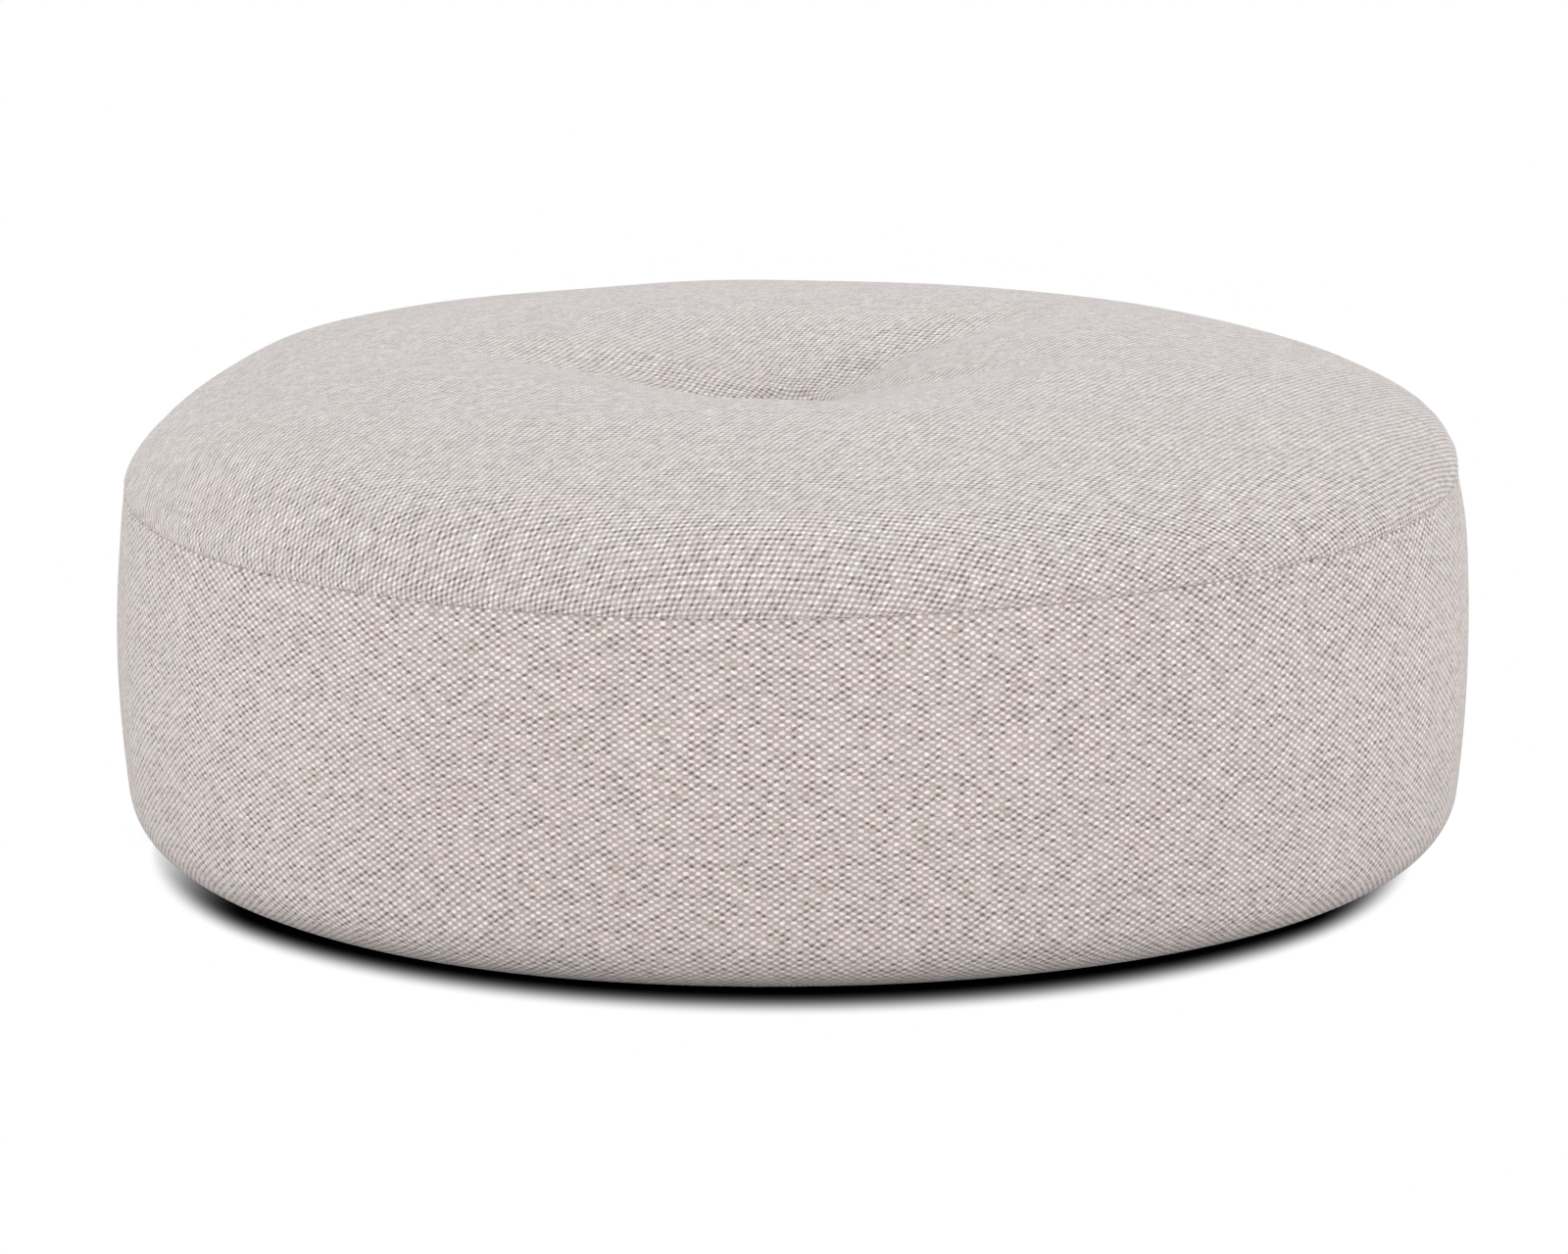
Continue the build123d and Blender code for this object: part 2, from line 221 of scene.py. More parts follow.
# Merges points that lie together, so that poles and seams are closed, and smooths the faces
def closePiece(made, distance=1e-5, outward=False, smooth=True):
    work = bmesh.new()
    work.from_mesh(made.data)
    bmesh.ops.remove_doubles(work, verts=work.verts, dist=distance)
    bmesh.ops.dissolve_degenerate(work, edges=work.edges, dist=distance / 10)
    if outward:
        bmesh.ops.recalc_face_normals(work, faces=work.faces)
    work.to_mesh(made.data)
    work.free()
    made.data.polygons.foreach_set("use_smooth", np.full(len(made.data.polygons), smooth))
    made.data.update()
    return made


# Points along a left-hand arc from its start: centre plus radius turned from heading by turn degrees
def arc(start, heading, radius, turn, count):
    first = math.radians(heading)
    centre = np.array([start[0] - radius * math.sin(first), start[1] + radius * math.cos(first)])
    bearings = np.radians(heading + turn * np.arange(1, count + 1) / count)
    return np.stack([centre[0] + radius * np.sin(bearings), centre[1] - radius * np.cos(bearings)], -1)


# Points along a straight run, its start left out
def run(start, end, count):
    share = np.arange(1, count + 1)[:, None] / count
    return np.array(start) * (1 - share) + np.array(end) * share


# A profile's arc length at each of its points
def lengths(profile):
    return np.concatenate([[0], np.cumsum(np.linalg.norm(np.diff(profile, axis=0), axis=1))])


# 0 below low, 1 above high, eased in between
def eased(value, low, high):
    share = np.clip((value - low) / (high - low), 0, 1)
    return share * share * (3 - 2 * share)


# A bell of the given half width around zero
def bell(value, width):
    return np.exp(-((value / width) ** 2))


# How many waves each set adds up
waveCount = 9


# Waves round the drum at whole counts from low to under high, seeded, about one high
def waves(turn, low, high, seed):
    dice = np.random.default_rng(seed)
    counts = dice.integers(low, high, waveCount)
    phases = dice.uniform(0, 2 * math.pi, waveCount)
    total = np.zeros_like(turn)
    for number, phase in zip(counts, phases):
        total = total + np.sin(number * turn + phase)
    return total / math.sqrt(waveCount)


# Turns from a start, the short way round
def turnsFrom(turn, start):
    return np.mod(turn - start + math.pi, 2 * math.pi) - math.pi


# Directions at the given turns, and once more at the full turn
def roundWays(turns):
    ring = np.append(turns, 2 * math.pi)
    return np.stack([np.cos(ring), np.sin(ring)], -1)


# A profile of (radius, height) carried round at the given turns
def spun(profile, turns):
    radius, height = profile[:, :1], profile[:, 1:]
    return np.stack([radius * np.cos(turns), radius * np.sin(turns), np.repeat(height, len(turns), 1)], -1)


# Sizes below are in metres, and the dictionaries' turns and slopes in degrees
whole = dict(seamRadius=0.5015, seamHeight=0.2855, tilt=0.0163, tiltFrom=0.05, tiltTo=0.45, columns=660)
edge = whole["seamRadius"]
angles = np.arange(whole["columns"]) * 2 * math.pi / whole["columns"]
cosine, sine = np.cos(angles), np.sin(angles)


# How far the sewn seam stands above its mean height: up to the right in front, level behind
def seamRise(x, y):
    return whole["tilt"] * x * (1 - eased(y, whole["tiltFrom"], whole["tiltTo"]))


# where the two cloths meet; waves are given as lowest count, highest count and seed
seam = dict(
    depth=0.0013, uneven=0.0007, width=0.0016, grooveWaves=(60, 190, 3),
    pucker=0.0004, puckerReach=0.030, puckerWaves=(40, 110, 4),
    lean=0.0034, leanTurn=10.0, leanReach=0.026, leanFrom=0.55,
)


# The seam draws the cloth in: a narrow groove of uneven depth, and soft puckers that fade away from it
def seamPull(turn, distance):
    groove = seam["depth"] + seam["uneven"] * waves(turn, *seam["grooveWaves"])
    pucker = seam["pucker"] * waves(turn, *seam["puckerWaves"])
    return groove * bell(distance, seam["width"]) + pucker * bell(distance, seam["puckerReach"])


# On the right both cloths lean in towards the seam, which rounds the shoulder there
def seamLean(turn, distance):
    near = eased(np.cos(turn - math.radians(seam["leanTurn"])), seam["leanFrom"], 1.0)
    return seam["lean"] * near * bell(distance, seam["leanReach"])


# cover, top panel

topPanel = dict(
    edgeLift=0.0040, edgeRoll=0.015, edgeTurn=28.0, squareShoulder=0.100, softShoulder=0.124,
    domeRoll=0.800, domeSlope=16.0, dipRoll=0.532, tuftRadius=0.040, lipRoll=0.016, wallSlope=50.0,
    wellRoll=0.010, seatRadius=0.0165, skin=0.008, allowance=0.012, tongue=0.004, innerStep=6,
    crestFrom=0.30, crestTo=0.49, riseFrom=0.455, riseTo=0.50, pullTo=0.05,
)
crownSteps = dict(lift=6, edge=6, shoulder=24, dome=34, dip=34, lip=6, wall=3, well=6, seat=4)


# The crown's outer line as (radius, height): edge, shoulder, dome, dip, lip, wall, well and seat
def crownLine(shoulderRoll):
    t = topPanel
    count = crownSteps
    line = [np.array([[edge, whole["seamHeight"]]])]

    def add(points):
        line.append(points)
        return points[-1]

    shoulderTurn = 90 - t["edgeTurn"] - t["domeSlope"]
    at = add(run(line[0][0], (edge, whole["seamHeight"] + t["edgeLift"]), count["lift"]))
    at = add(arc(at, 90, t["edgeRoll"], t["edgeTurn"], count["edge"]))
    at = add(arc(at, 90 + t["edgeTurn"], shoulderRoll, shoulderTurn, count["shoulder"]))
    at = add(arc(at, 180 - t["domeSlope"], t["domeRoll"], t["domeSlope"], count["dome"]))
    dipSlope = math.degrees(math.asin((at[0] - t["tuftRadius"]) / t["dipRoll"]))
    at = add(arc(at, 180, t["dipRoll"], dipSlope, count["dip"]))
    at = add(arc(at, 180 + dipSlope, t["lipRoll"], t["wallSlope"] - dipSlope, count["lip"]))
    wellRadius = t["seatRadius"] + t["wellRoll"] * math.sin(math.radians(t["wallSlope"]))
    wellHeight = at[1] - (at[0] - wellRadius) * math.tan(math.radians(t["wallSlope"]))
    at = add(run(at, (wellRadius, wellHeight), count["wall"]))
    at = add(arc(at, 180 + t["wallSlope"], -t["wellRoll"], -t["wallSlope"], count["well"]))
    add(run(at, (0.0, at[1]), count["seat"]))
    return np.concatenate(line)


# The soft shoulder's line, brought up to the square one's crest so that only its shoulder differs
squareLine = crownLine(topPanel["squareShoulder"])
softLine = crownLine(topPanel["softShoulder"])
crest = int(np.argmax(squareLine[:, 1]))
brought = 1 - eased(softLine[:, :1], topPanel["crestFrom"], topPanel["crestTo"])
softLine += (squareLine[crest] - softLine[crest]) * brought
softLine[crest:] = squareLine[crest:]
print("crown %.1f mm high" % (squareLine[crest, 1] * 1000))

# Creases that the tuft's twine draws: heading, bend, depth, width at the tuft, spread, and reach
pulls = [
    dict(turn=46, bend=-0.13, depth=0.0114, width=0.014, spread=0.12, reach=0.33),
    dict(turn=189, bend=-0.60, depth=0.0112, width=0.018, spread=0.17, reach=0.30),
    dict(turn=-21, bend=0.0, depth=0.0033, width=0.023, spread=0.10, reach=0.20),
    dict(turn=-128, bend=0.0, depth=0.0022, width=0.018, spread=0.22, reach=0.26),
    dict(turn=100, bend=0.0, depth=0.0018, width=0.018, spread=0.25, reach=0.22),
]
# Low places of a sat-on pad: place, half widths, turn of the long one, depth
dents = [
    dict(x=-0.13, y=-0.43, long=0.085, short=0.040, turn=20, depth=0.0035),
    dict(x=0.02, y=0.20, long=0.16, short=0.10, turn=0, depth=0.0030),
    dict(x=-0.30, y=0.02, long=0.10, short=0.06, turn=10, depth=0.0015),
    dict(x=-0.440, y=0.03, long=0.220, short=0.046, turn=90, depth=0.0100),
    dict(x=-0.012, y=-0.080, long=0.117, short=0.050, turn=-35, depth=0.0065),
    dict(x=-0.060, y=0.320, long=0.150, short=0.090, turn=0, depth=0.0035),
]
# Where creases start, are full and fade; the uneven pad's waves, round and outward; where relief ends
worn = dict(
    creaseFrom=0.008, creaseFull=0.070, creaseFade=0.12,
    uneven=0.0006, wideWaves=(3, 9, 5), widePitch=17.0,
    closeWaves=(5, 16, 6), closePitch=31.0, closePhase=1.0,
    innerFrom=0.02, innerTo=0.10, outerFrom=0.44, outerTo=0.50, seamFrom=0.478, seamTo=0.4995,
)


# The crown's height over its own line: creases from the tuft, low places and a slightly uneven pad
def crownRelief(x, y):
    lift = np.zeros_like(x)
    for pull in pulls:
        turn = math.radians(pull["turn"])
        forward = x * math.cos(turn) + y * math.sin(turn)
        ahead = np.clip(forward, 0, None)
        aside = -x * math.sin(turn) + y * math.cos(turn) - pull["bend"] * ahead ** 2
        along = eased(forward, worn["creaseFrom"], worn["creaseFull"])
        along = along * (1 - eased(forward, worn["creaseFade"], pull["reach"]))
        lift -= pull["depth"] * bell(aside, pull["width"] + pull["spread"] * ahead) * along
    for dent in dents:
        turn = math.radians(dent["turn"])
        along = (x - dent["x"]) * math.cos(turn) + (y - dent["y"]) * math.sin(turn)
        aside = -(x - dent["x"]) * math.sin(turn) + (y - dent["y"]) * math.cos(turn)
        lift -= dent["depth"] * bell(along, dent["long"]) * bell(aside, dent["short"])
    radius = np.hypot(x, y)
    turn = np.arctan2(y, x)
    wide = waves(turn, *worn["wideWaves"]) * np.sin(radius * worn["widePitch"])
    close = waves(turn, *worn["closeWaves"]) * np.sin(radius * worn["closePitch"] + worn["closePhase"])
    held = eased(radius, worn["innerFrom"], worn["innerTo"])
    held = held * (1 - eased(radius, worn["outerFrom"], worn["outerTo"]))
    lift += worn["uneven"] * (wide + close) * held
    return lift * (1 - eased(radius, worn["seamFrom"], worn["seamTo"]))


# The crown's surface: square shoulder on the right, soft on the left, lifted to the seam's rise
def crownPoints(line, soft, relief=1.0):
    lean = (1 - cosine) / 2
    flat = line[:, None, :] * (1 - lean[None, :, None]) + soft[:, None, :] * lean[None, :, None]
    out, height = flat[..., 0], flat[..., 1]
    above = height - whole["seamHeight"]
    drawnIn = seamPull(angles[None, :], above) + seamLean(angles[None, :], above)
    radius = out - drawnIn * eased(out, 0.0, topPanel["pullTo"])
    x = radius * cosine
    y = radius * sine
    rise = seamRise(x, y) * eased(radius, topPanel["riseFrom"], topPanel["riseTo"])
    return np.stack([x, y, height + rise + relief * crownRelief(x, y)], -1)


# A line set in square to itself, from its last point back to its first
def insideOf(line, depth):
    way = np.gradient(line, axis=0)
    way /= np.maximum(np.linalg.norm(way, axis=1, keepdims=True), 1e-9)
    inner = line + depth * np.stack([-way[:, 1], way[:, 0]], -1)
    inner[:, 0] = np.clip(inner[:, 0], 0, edge - depth)
    inner[-1, 0] = 0.0
    return inner[::-1]


# The inner side follows the outer one a skin's depth inside, and turns down into the seam allowance
outer = crownPoints(squareLine, softLine)
innerSquare, innerSoft = (insideOf(line, topPanel["skin"]) for line in (squareLine, softLine))
keep = np.append(np.arange(0, len(innerSquare) - 1, topPanel["innerStep"]), len(innerSquare) - 1)
inner = crownPoints(innerSquare[keep], innerSoft[keep])
tongue = np.array([
    [edge - topPanel["skin"], whole["seamHeight"] - topPanel["allowance"]],
    [edge - topPanel["tongue"], whole["seamHeight"] - topPanel["allowance"]],
    [edge - topPanel["tongue"], whole["seamHeight"]],
])
shell = np.concatenate([outer, inner, crownPoints(tongue, tongue, 0.0), outer[:1]])

# The cloth is cut flat: its length from the centre grows with the surface's by a cubic, which gathers it
# at the tuft and at the seam and stretches it between, a little more on one side than on the other
cut = dict(first=1.138, second=-0.634, third=0.793, aside=-0.016, ahead=0.012)
outward = lengths(squareLine)[-1] - lengths(squareLine)
cutLength = outward * (cut["first"] + cut["second"] * outward + cut["third"] * outward ** 2)
topWays = roundWays(angles)
drawn = 1 + cut["aside"] * topWays[:, :1] + cut["ahead"] * topWays[:, 1:]
topUv = cutLength[:, None, None] * (drawn * topWays)[None]
topUv = np.concatenate([topUv, np.repeat(topUv[-1:], len(shell) - len(topUv), axis=0)])
topCover = closePiece(gridPiece("topCover", shell, topUv))
print("top panel:", len(topCover.data.polygons), "faces")

# The crown foam under it, flat below
crownPad = dict(gap=0.0004, inset=0.0083, base=0.2620)
padInset = topPanel["skin"] + crownPad["gap"]
padSquare, padSoft = (insideOf(line, padInset)[keep] for line in (squareLine, softLine))
padBase = np.array([[edge - crownPad["inset"], crownPad["base"]], [0.0, crownPad["base"]]])
padShell = np.concatenate([crownPoints(padSquare, padSoft), spun(padBase, angles)])
crownFoam = closePiece(gridPiece("crownFoam", padShell), outward=True)


# cover, side band

sideBand = dict(
    groundGap=0.0109, bottomRoll=0.046, slope=6.6, cloth=0.002, turned=0.036, top=0.2852,
    foldInset=0.0037, skin=0.008, wallMiddle=0.150, wallFoot=0.0560, wrapFoot=0.0193, innerRadius=0.4615,
    undulation=0.0007, faceWaves=(4, 26, 7), ripple=0.0004, rippleWaves=(20, 60, 8),
    faceFoot=0.02, faceRise=0.25,
    closingGroove=0.0016, closingWidth=0.0042, closingFrom=0.02, closingTo=0.06, tiltFrom=0.10,
    sag=0.0036, sagTurn=-125.0, sagWidth=30.0, sagInner=0.450, sagOuter=0.464, sagFull=0.02, sagEnd=0.12,
)
bandSteps = dict(turned=6, roll=22, face=40, top=5)


# The band's outer line from its turned-under edge round the bottom roll and up to the seam
def bandLine():
    b = sideBand
    count = bandSteps
    rollStart = edge - b["bottomRoll"] * math.cos(math.radians(b["slope"]))
    under = np.array([[rollStart - b["turned"], b["groundGap"]]])
    turned = run(under[0], (rollStart, b["groundGap"]), count["turned"])
    roll = arc(turned[-1], 0, b["bottomRoll"], 90 - b["slope"], count["roll"])
    faceRadius = (b["top"] - roll[-1, 1]) / (2 * math.sin(math.radians(b["slope"])))
    face = arc(roll[-1], 90 - b["slope"], faceRadius, 2 * b["slope"], count["face"])
    return np.concatenate([under, turned, roll, face[:-1], run(face[-2], face[-1], count["top"])])


bandOuter = bandLine()
bandInner = np.array([
    [edge - sideBand["foldInset"], sideBand["top"]],
    [edge - sideBand["foldInset"], sideBand["top"] - topPanel["allowance"]],
    [edge - sideBand["skin"], sideBand["top"] - topPanel["allowance"]],
    [edge - sideBand["skin"], sideBand["wallMiddle"]],
    [edge - sideBand["skin"], sideBand["wallFoot"]],
    [sideBand["innerRadius"], sideBand["wrapFoot"]],
    [sideBand["innerRadius"], sideBand["groundGap"] + sideBand["cloth"]],
    [bandOuter[0, 0], sideBand["groundGap"] + sideBand["cloth"]],
    [bandOuter[0, 0], sideBand["groundGap"]],
])
# the closing seam stands at the back, so the grid starts there
backTurn = angles + math.pi / 2


# A line carried round: its top follows the seam, its face undulates, the closing seam is drawn in,
# and its lower edge sags a little at the front left
def bandPoints(line, face):
    b = sideBand
    turn = backTurn[None, :]
    height = line[:, 1:]
    fall = b["top"] - height
    middle = np.sin(np.clip((height - b["faceFoot"]) / b["faceRise"], 0, 1) * math.pi)
    push = b["undulation"] * waves(turn, *b["faceWaves"]) * middle
    push = push + b["ripple"] * waves(turn, *b["rippleWaves"]) * middle ** 2
    closing = b["closingGroove"] * bell(turnsFrom(turn, math.pi / 2) * edge, b["closingWidth"])
    closing = closing * eased(height, b["closingFrom"], b["closingTo"])
    radius = line[:, :1] - seamLean(turn, fall) + face * (push - closing - seamPull(turn, fall))
    x = radius * np.cos(turn)
    y = radius * np.sin(turn)
    z = height + seamRise(x, y) * eased(height, b["tiltFrom"], b["top"])
    off = np.degrees(turnsFrom(turn, math.radians(b["sagTurn"])))
    low = eased(line[:, :1], b["sagInner"], b["sagOuter"]) * (1 - eased(height, b["sagFull"], b["sagEnd"]))
    return np.stack([x, y, z - face * b["sag"] * bell(off, b["sagWidth"]) * low], -1)


bandShell = np.concatenate([bandPoints(bandOuter, 1.0), bandPoints(bandInner, 0.0)])
roundLength = np.arange(len(angles) + 1) * 2 * math.pi / len(angles) * edge
bandUv = np.stack(np.broadcast_arrays(roundLength[None, :], lengths(bandOuter)[:, None]), -1)
bandUv = np.concatenate([bandUv, np.repeat(bandUv[-1:], len(bandInner), axis=0)])
bandCover = closePiece(gridPiece("bandCover", bandShell, bandUv))
print("side band:", len(bandCover.data.polygons), "faces")

# the covered button in the tuft
button = dict(
    radius=0.0148, base=0.3246, rim=0.0026, height=0.0076, tuckShare=0.94, edgeLift=0.0008,
    rings=14, columns=48,
)


# A quarter ellipse over a short rim, closed flat below
def buttonLine():
    b = button
    turn = np.radians(np.linspace(0, 90, b["rings"]))
    rise = b["base"] + b["rim"] + (b["height"] - b["rim"]) * np.sin(turn)
    low = np.array([
        [0.0, b["base"]],
        [b["radius"] * b["tuckShare"], b["base"]],
        [b["radius"], b["base"] + b["edgeLift"]],
    ])
    return np.concatenate([low, np.stack([b["radius"] * np.cos(turn), rise], -1)])


buttonTurns = np.arange(button["columns"]) * 2 * math.pi / button["columns"]
buttonProfile = buttonLine()
buttonOut = lengths(buttonProfile)[-1] - lengths(buttonProfile)
buttonUv = buttonOut[:, None, None] * roundWays(buttonTurns)[None]
buttonCover = closePiece(gridPiece("buttonCover", spun(buttonProfile, buttonTurns), buttonUv), outward=True)

# staples that hold the black underlay
dustStaples = dict(count=96, sides=16, reach=0.4345, crown=0.0100, wire=0.0011, thick=0.0005, top=0.0100)
boxFaces = np.array([[0, 1, 3, 2], [4, 6, 7, 5], [0, 4, 5, 1], [2, 3, 7, 6], [0, 2, 6, 4], [1, 5, 7, 3]])


# A flat bar copied round the sixteen-sided underlay, along its edge
def stapleBars():
    d = dustStaples
    corner = np.array([[x, y, z] for x in (-0.5, 0.5) for y in (-0.5, 0.5) for z in (-1.0, 0.0)])
    bar = corner * [d["wire"], d["crown"], d["thick"]] + [0, 0, d["top"]]
    turn = (np.arange(d["count"]) + 0.5) * 2 * math.pi / d["count"]
    half = math.pi / d["sides"]
    side = (2 * np.round(turn / (2 * half) - 0.5) + 1) * half
    reach = d["reach"] * math.cos(half) / np.cos(turn - side)
    place = np.stack([reach * np.cos(turn), reach * np.sin(turn), np.zeros_like(turn)], -1)
    c, s = np.cos(side)[:, None], np.sin(side)[:, None]
    x = bar[None, :, 0] * c - bar[None, :, 1] * s
    y = bar[None, :, 0] * s + bar[None, :, 1] * c
    points = np.stack([x, y, np.broadcast_to(bar[None, :, 2], x.shape)], -1) + place[:, None, :]
    faces = (boxFaces[None] + len(corner) * np.arange(d["count"])[:, None, None]).reshape(-1, 4)
    mesh = bpy.data.meshes.new("dustStaples")
    mesh.from_pydata(points.reshape(-1, 3).tolist(), [], faces.tolist())
    made = bpy.data.objects.new("dustStaples", mesh)
    bpy.context.scene.collection.objects.link(made)
    return made


dustStapleBars = closePiece(stapleBars(), outward=True, smooth=False)
print("button and staples made")


# the tweed

# One cloth for every cover piece: its sizes along the floats and across the rows, then how it wanders,
# its slubs and fibres, where yarn and gaps begin and end, what its height adds up from, and its colours
weave = dict(
    float=0.00836, row=0.00275, relief=0.0008, strength=0.9, slant=0.9, slantMiddle=0.35,
    bow=0.010, bowScale=9.0, wander=0.0022, wanderScale=150.0, waver=0.0018, waverScale=210.0,
    slub=0.12, slubScale=70.0, slubRow=3.71,
    fibre=0.40, fibreAlong=1100.0, fibreAcross=2200.0, fibreRough=0.7,
    ragged=0.9, deepened=0.30, gapFrom=-0.42, yarnFrom=0.55, brightest=0.89,
    patchScale=55.0, patchFrom=0.40, patchTo=0.62, fleckFrom=0.955, fleckTo=0.985,
    holeFrom=-0.15, holeTo=-0.85, bodyHigh=0.75, ownHigh=0.25, crateHigh=0.25, fibreHigh=0.2,
    yarn=tint(243, 232, 229), cool=tint(238, 232, 227), fleck=tint(212, 200, 192),
    # The last two colours are painted shade: the gaps between floats, and darker still the deepest gaps
    gap=tint(183, 171, 167), hole=tint(110, 99, 95),
)
# Seeds of the noises and of each float's tone, each float's slant and each gap's depth
weaveSeeds = dict(wander=3.0, waver=6.0, tone=0.5, slant=2.5, deep=4.5)


# Egg-crate: cos(along) times cos(across) is high on each float, low in the gaps between, staggered by rows.
# Every float has its own tone, rows have thick and thin stretches, and every gap its own depth, coloured as
# painted shade.
# turn lays the cloth, drift shifts its noises, lift sets how strongly light is painted on the floats' upper
# sides and shade on their lower sides, unlike and cloudy spread their tones, and the last argument is the
# share of gaps left without painted shade.
def tweedMaterial(name, turn=0.0, drift=0.0, lift=0.0, unlike=0.20, cloudy=0.0, unshadedGapShare=0.30):
    recipe = Recipe(name)
    w = weave
    seeds = weaveSeeds
    u, v = recipe.parts(recipe.along("cloth"))[:2]
    if turn:
        c, s = math.cos(math.radians(turn)), math.sin(math.radians(turn))
        u, v = u * c + v * s, v * c - u * s
    bow = recipe.noise(recipe.vector(u, v, drift), w["bowScale"], detail=1.0)
    wander = recipe.noise(recipe.vector(u, v, drift + seeds["wander"]), w["wanderScale"], detail=1.0)
    waver = recipe.noise(recipe.vector(u, v, drift + seeds["waver"]), w["waverScale"], detail=1.0)
    u = u + (wander - 0.5) * w["wander"]
    v = v + (bow - 0.5) * w["bow"] + (waver - 0.5) * w["waver"]
    across = v / w["row"]
    along = u / w["float"]
    line = (across + 0.5).floor()
    stagger = (line % 2.0) * 0.5
    number = (along + 0.5 + stagger).floor()
    hollow = (along + stagger).floor()
    own = recipe.chance(number, line, seeds["tone"])
    slant = (recipe.chance(number, line, seeds["slant"]) - w["slantMiddle"]) * w["slant"]
    shifted = across + (along + stagger - number) * slant
    crate = (along * (2 * math.pi)).cosine() * (shifted * math.pi).cosine()
    # Painted light on each float's upper half and painted shade on its lower half
    paintedLightAndShade = (along * (2 * math.pi)).cosine() * (shifted * math.pi).sine()
    deep = recipe.chance(hollow, line, seeds["deep"])
    slub = recipe.noise(recipe.vector(u * w["slubScale"], line * w["slubRow"]), detail=1.0)
    strands = recipe.vector(u * w["fibreAlong"], v * w["fibreAcross"])
    fibre = recipe.noise(strands, detail=3.0, rough=w["fibreRough"])
    edges = crate + (fibre - 0.5) * w["ragged"] - (deep - 0.5) * w["deepened"]
    body = recipe.ease(edges, w["gapFrom"], w["yarnFrom"])
    # The tone adds up each float's own tone, its slubs and fibres, and the painted light and shade on the
    # floats' upper and lower halves
    tone = w["brightest"] - unlike / 2 + unlike * own + (wander - 0.5) * cloudy
    tone = tone + w["slub"] * slub + (fibre - 0.5) * w["fibre"] + paintedLightAndShade * lift
    patch = recipe.noise(recipe.place(), w["patchScale"])
    yarn = recipe.mix(recipe.ease(patch, w["patchFrom"], w["patchTo"]), w["yarn"], w["cool"])
    yarn = recipe.mix(recipe.ease(own, w["fleckFrom"], w["fleckTo"]), yarn, w["fleck"])
    shaded = recipe.mix(1.0, yarn, recipe.grey(tone), "MULTIPLY")
    # Painted shade in the gaps: deep gaps darken from the gap colour towards the hole colour, most at their
    # middles
    paintedGapShade = recipe.ease(deep, unshadedGapShare, 1.0) * recipe.ease(crate, w["holeFrom"], w["holeTo"])
    cloth = recipe.mix(body, recipe.mix(paintedGapShade, w["gap"], w["hole"]), shaded)
    height = body * (w["bodyHigh"] + w["ownHigh"] * own) + crate * w["crateHigh"] + fibre * w["fibreHigh"]
    return recipe.finish(
        Base_Color=cloth, Roughness=0.93, Normal=recipe.bump(height, w),
        Sheen_Weight=0.45, Sheen_Roughness=0.45, Sheen_Tint=[0.97, 1.0, 1.0, 1.0], Specular_IOR_Level=0.15,
    )


# The top's copy leaves fewer of its gaps without painted shade than the band's
topCover.data.materials.append(tweedMaterial("topTweed", turn=31.0, unlike=0.26, cloudy=0.35, unshadedGapShare=0.12))
# The band's copy paints light on its floats' upper sides and shade on their lower sides
bandCover.data.materials.append(tweedMaterial("bandTweed", drift=5.0, lift=0.07))
buttonCover.data.materials.append(tweedMaterial("buttonTweed", turn=31.0, drift=9.0))


# inner materials

# Open cells as a fine net of walls over a slow change of tone
cells = dict(
    scale=700.0, wallFrom=0.02, wallTo=0.18, ageScale=14.0, relief=0.0003, strength=0.5,
    wall=tint(250, 244, 222), fresh=tint(238, 229, 196), aged=tint(226, 208, 160),
)


def foamMaterial():
    recipe = Recipe("creamFoam")
    place = recipe.place()
    inputs = {"Vector": place, "Scale": cells["scale"]}
    reach = recipe.node("ShaderNodeTexVoronoi", {"feature": "DISTANCE_TO_EDGE"}, inputs)
    inside = recipe.ease(reach, cells["wallFrom"], cells["wallTo"])
    age = recipe.noise(place, cells["ageScale"], detail=4.0)
    colour = recipe.mix(inside, cells["wall"], recipe.mix(age, cells["fresh"], cells["aged"]))
    return recipe.finish(Base_Color=colour, Roughness=0.95, Normal=recipe.bump(1.0 - inside, cells))


# A plain weave of square pitch: one thread over, one under, as a checker of rounded threads
def plainWeave(recipe, x, y, pitch):
    over = (x * (math.pi / pitch)).sine() * (y * (math.pi / pitch)).sine()
    ridges = (x * (2 * math.pi / pitch)).cosine() + (y * (2 * math.pi / pitch)).cosine()
    return over * 0.5 + 0.5, ridges * 0.25 + 0.5


# Jute strap: close weave, with a dark stripe inside each edge, at the straps' own pitch
jute = dict(
    thread=0.0017, relief=0.0004, strength=0.7, fibreScale=420.0,
    inner=0.0225, innerFull=0.0232, outerFull=0.0268, outer=0.0275, lower=0.35,
    light=tint(188, 158, 112), dark=tint(150, 118, 76), shade=tint(96, 72, 44), stripe=tint(74, 44, 34),
)


def webbingMaterial(name, across, first, pitch):
    recipe = Recipe(name)
    place = recipe.place()
    x, y = recipe.parts(place)[:2]
    side = y if across else x
    offset = ((side - first + pitch / 2) % pitch - pitch / 2).size()
    past = recipe.ease(offset, jute["inner"], jute["innerFull"])
    stripe = past * recipe.ease(offset, jute["outer"], jute["outerFull"])
    over, ridges = plainWeave(recipe, x, y, jute["thread"])
    fibre = recipe.noise(place, jute["fibreScale"], detail=3.0)
    yarn = recipe.mix(fibre, jute["light"], jute["dark"])
    yarn = recipe.mix(over, recipe.mix(jute["lower"], yarn, jute["shade"]), yarn)
    colour = recipe.mix(stripe, yarn, jute["stripe"])
    return recipe.finish(Base_Color=colour, Roughness=0.9, Normal=recipe.bump(ridges + over, jute))


# Burlap: open weave, with painted shade between its threads
sacking = dict(
    thread=0.0026, relief=0.0006, strength=0.8, fibreScale=300.0, openFrom=0.10, openTo=0.34,
    light=tint(186, 156, 112), dark=tint(140, 108, 70), between=tint(58, 44, 30),
)


